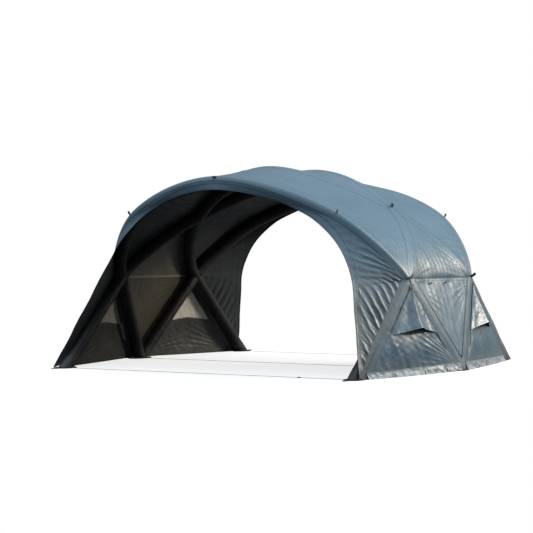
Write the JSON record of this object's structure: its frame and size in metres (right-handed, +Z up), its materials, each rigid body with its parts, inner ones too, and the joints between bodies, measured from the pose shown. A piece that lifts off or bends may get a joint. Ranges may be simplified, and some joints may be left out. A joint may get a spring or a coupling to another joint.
{
  "type": "inflatable shelter",
  "caption": "Open-ended camping shelter: a lattice of leaning air-filled arches under one sewn canopy, with side doors, hooded vents, ground straps and tie-outs.",
  "frame": {"origin": "on the ground under the middle of the shelter", "axes": "+Z up, +X to the right as seen from the front, front opening at -Y"},
  "size_m": [4.95, 4.9138, 2.544],
  "materials": {
    "tube_sleeve": "matt black woven polyester sleeve",
    "canopy_fabric": "blue-grey coated polyester with a soft sheen",
    "black_webbing": "matt black webbing and reinforced patches",
    "black_plastic": "moulded, fine texture",
    "ring_steel": "dark brushed"
  },
  "bodies": {
    "shelter": {"leg_tube_front_left": "tube_sleeve", "mid_leg_tube_front_left": "tube_sleeve", "leg_tube_front_right": "tube_sleeve", "mid_leg_tube_front_right": "tube_sleeve", "leg_tube_back_left": "tube_sleeve", "mid_leg_tube_back_left": "tube_sleeve", "leg_tube_back_right": "tube_sleeve", "mid_leg_tube_back_right": "tube_sleeve", "end_arch_tube_front": "tube_sleeve", "end_arch_tube_back": "tube_sleeve", "ridge_arch_tube_front": "tube_sleeve", "ridge_arch_tube_back": "tube_sleeve", "shoulder_hub_left": "tube_sleeve", "shoulder_hub_right": "tube_sleeve", "corner_foot_front_left": "black_webbing", "corner_foot_front_right": "black_webbing", "corner_foot_back_left": "black_webbing", "corner_foot_back_right": "black_webbing", "mid_foot_left": "black_webbing", "mid_foot_right": "black_webbing", "visor_front": "canopy_fabric", "visor_back": "canopy_fabric", "roof_panel_front": "canopy_fabric", "roof_panel_back": "canopy_fabric", "ridge_panel": "canopy_fabric", "side_panel_left": "canopy_fabric", "side_panel_right": "canopy_fabric", "vent_wall_front_left": "canopy_fabric", "vent_wall_front_right": "canopy_fabric", "vent_wall_back_left": "canopy_fabric", "vent_wall_back_right": "canopy_fabric", "vent_hood_front_left": "canopy_fabric", "vent_hood_front_right": "canopy_fabric", "vent_hood_back_left": "canopy_fabric", "vent_hood_back_right": "canopy_fabric", "ground_strap_front": "black_webbing", "ground_strap_middle": "black_webbing", "ground_strap_back": "black_webbing", "valve_body": "black_plastic"},
    "door_left": {"door_left": "canopy_fabric"},
    "zip_slider_left": {"zip_slider_left": "black_plastic"},
    "door_toggle_front_left": {"door_toggle_front_left": "black_plastic"},
    "door_toggle_back_left": {"door_toggle_back_left": "black_plastic"},
    "door_right": {"door_right": "canopy_fabric"},
    "zip_slider_right": {"zip_slider_right": "black_plastic"},
    "door_toggle_front_right": {"door_toggle_front_right": "black_plastic"},
    "door_toggle_back_right": {"door_toggle_back_right": "black_plastic"},
    "vent_prop_front_left": {"vent_prop_front_left": "black_plastic"},
    "vent_prop_front_right": {"vent_prop_front_right": "black_plastic"},
    "vent_prop_back_left": {"vent_prop_back_left": "black_plastic"},
    "vent_prop_back_right": {"vent_prop_back_right": "black_plastic"},
    "tie_out_ring_front_left": {"tie_out_ring_front_left": "ring_steel"},
    "tie_out_ring_front_right": {"tie_out_ring_front_right": "ring_steel"},
    "tie_out_ring_back_left": {"tie_out_ring_back_left": "ring_steel"},
    "tie_out_ring_back_right": {"tie_out_ring_back_right": "ring_steel"},
    "strap_buckle_front": {"strap_buckle_front": "black_plastic"},
    "strap_buckle_middle": {"strap_buckle_middle": "black_plastic"},
    "strap_buckle_back": {"strap_buckle_back": "black_plastic"},
    "valve_cap": {"valve_cap": "black_plastic"}
  },
  "joints": [
    {"name": "door_left_swing", "type": "hinge", "parent": "shelter", "child": "door_left", "pos_m": [-2.13279, 0, 1.11725], "axis": [0, 1, 0], "range_deg": [0, 85]},
    {"name": "zip_left_slide", "type": "slide", "parent": "door_left", "child": "zip_slider_left", "axis": [0.2105, -0.6185, 0.757], "range_m": [0, 1.1]},
    {"name": "toggle_front_left_turn", "type": "hinge", "parent": "door_left", "child": "door_toggle_front_left", "pos_m": [-2.15881, -0.39, 1.07778], "axis": [-0.9635, 0, 0.2679], "range_deg": [-60, 60]},
    {"name": "toggle_back_left_turn", "type": "hinge", "parent": "door_left", "child": "door_toggle_back_left", "pos_m": [-2.15881, 0.05, 1.07778], "axis": [-0.9635, 0, 0.2679], "range_deg": [-60, 60]},
    {"name": "door_right_swing", "type": "hinge", "parent": "shelter", "child": "door_right", "pos_m": [2.13279, 0, 1.11725], "axis": [0, -1, 0], "range_deg": [0, 85]},
    {"name": "zip_right_slide", "type": "slide", "parent": "door_right", "child": "zip_slider_right", "axis": [-0.2105, -0.6185, 0.757], "range_m": [0, 1.1]},
    {"name": "toggle_front_right_turn", "type": "hinge", "parent": "door_right", "child": "door_toggle_front_right", "pos_m": [2.15881, -0.39, 1.07778], "axis": [0.9635, 0, 0.2679], "range_deg": [-60, 60]},
    {"name": "toggle_back_right_turn", "type": "hinge", "parent": "door_right", "child": "door_toggle_back_right", "pos_m": [2.15881, 0.05, 1.07778], "axis": [0.9635, 0, 0.2679], "range_deg": [-60, 60]},
    {"name": "vent_prop_front_left_fold", "type": "hinge", "parent": "shelter", "child": "vent_prop_front_left", "pos_m": [-2.21877, -0.9985, 0.56998], "axis": [0.1495, -0.9887, -0.0076], "range_deg": [0, 80]},
    {"name": "vent_prop_front_right_fold", "type": "hinge", "parent": "shelter", "child": "vent_prop_front_right", "pos_m": [2.21877, -0.9985, 0.56998], "axis": [0.1495, 0.9887, 0.0076], "range_deg": [0, 80]},
    {"name": "vent_prop_back_left_fold", "type": "hinge", "parent": "shelter", "child": "vent_prop_back_left", "pos_m": [-2.21877, 0.9985, 0.56998], "axis": [-0.1495, -0.9887, 0.0076], "range_deg": [0, 80]},
    {"name": "vent_prop_back_right_fold", "type": "hinge", "parent": "shelter", "child": "vent_prop_back_right", "pos_m": [2.21877, 0.9985, 0.56998], "axis": [-0.1495, 0.9887, -0.0076], "range_deg": [0, 80]},
    {"name": "ring_front_left_flip", "type": "hinge", "parent": "shelter", "child": "tie_out_ring_front_left", "pos_m": [-2.02, -2.4305, 0.006], "axis": [-1, 0, 0], "range_deg": [0, 90]},
    {"name": "ring_front_right_flip", "type": "hinge", "parent": "shelter", "child": "tie_out_ring_front_right", "pos_m": [2.02, -2.4305, 0.006], "axis": [-1, 0, 0], "range_deg": [0, 90]},
    {"name": "ring_back_left_flip", "type": "hinge", "parent": "shelter", "child": "tie_out_ring_back_left", "pos_m": [-2.02, 2.4305, 0.006], "axis": [1, 0, 0], "range_deg": [0, 90]},
    {"name": "ring_back_right_flip", "type": "hinge", "parent": "shelter", "child": "tie_out_ring_back_right", "pos_m": [2.02, 2.4305, 0.006], "axis": [1, 0, 0], "range_deg": [0, 90]},
    {"name": "buckle_front_slide", "type": "slide", "parent": "shelter", "child": "strap_buckle_front", "axis": [1, 0, 0], "range_m": [-0.4, 0.4]},
    {"name": "buckle_middle_slide", "type": "slide", "parent": "shelter", "child": "strap_buckle_middle", "axis": [1, 0, 0], "range_m": [-0.4, 0.4]},
    {"name": "buckle_back_slide", "type": "slide", "parent": "shelter", "child": "strap_buckle_back", "axis": [1, 0, 0], "range_m": [-0.4, 0.4]},
    {"name": "valve_cap_open", "type": "hinge", "parent": "shelter", "child": "valve_cap", "pos_m": [1.93122, -1.49234, 0.59809], "axis": [0, -0.6645, 0.7473], "range_deg": [0, 120]}
  ]
}
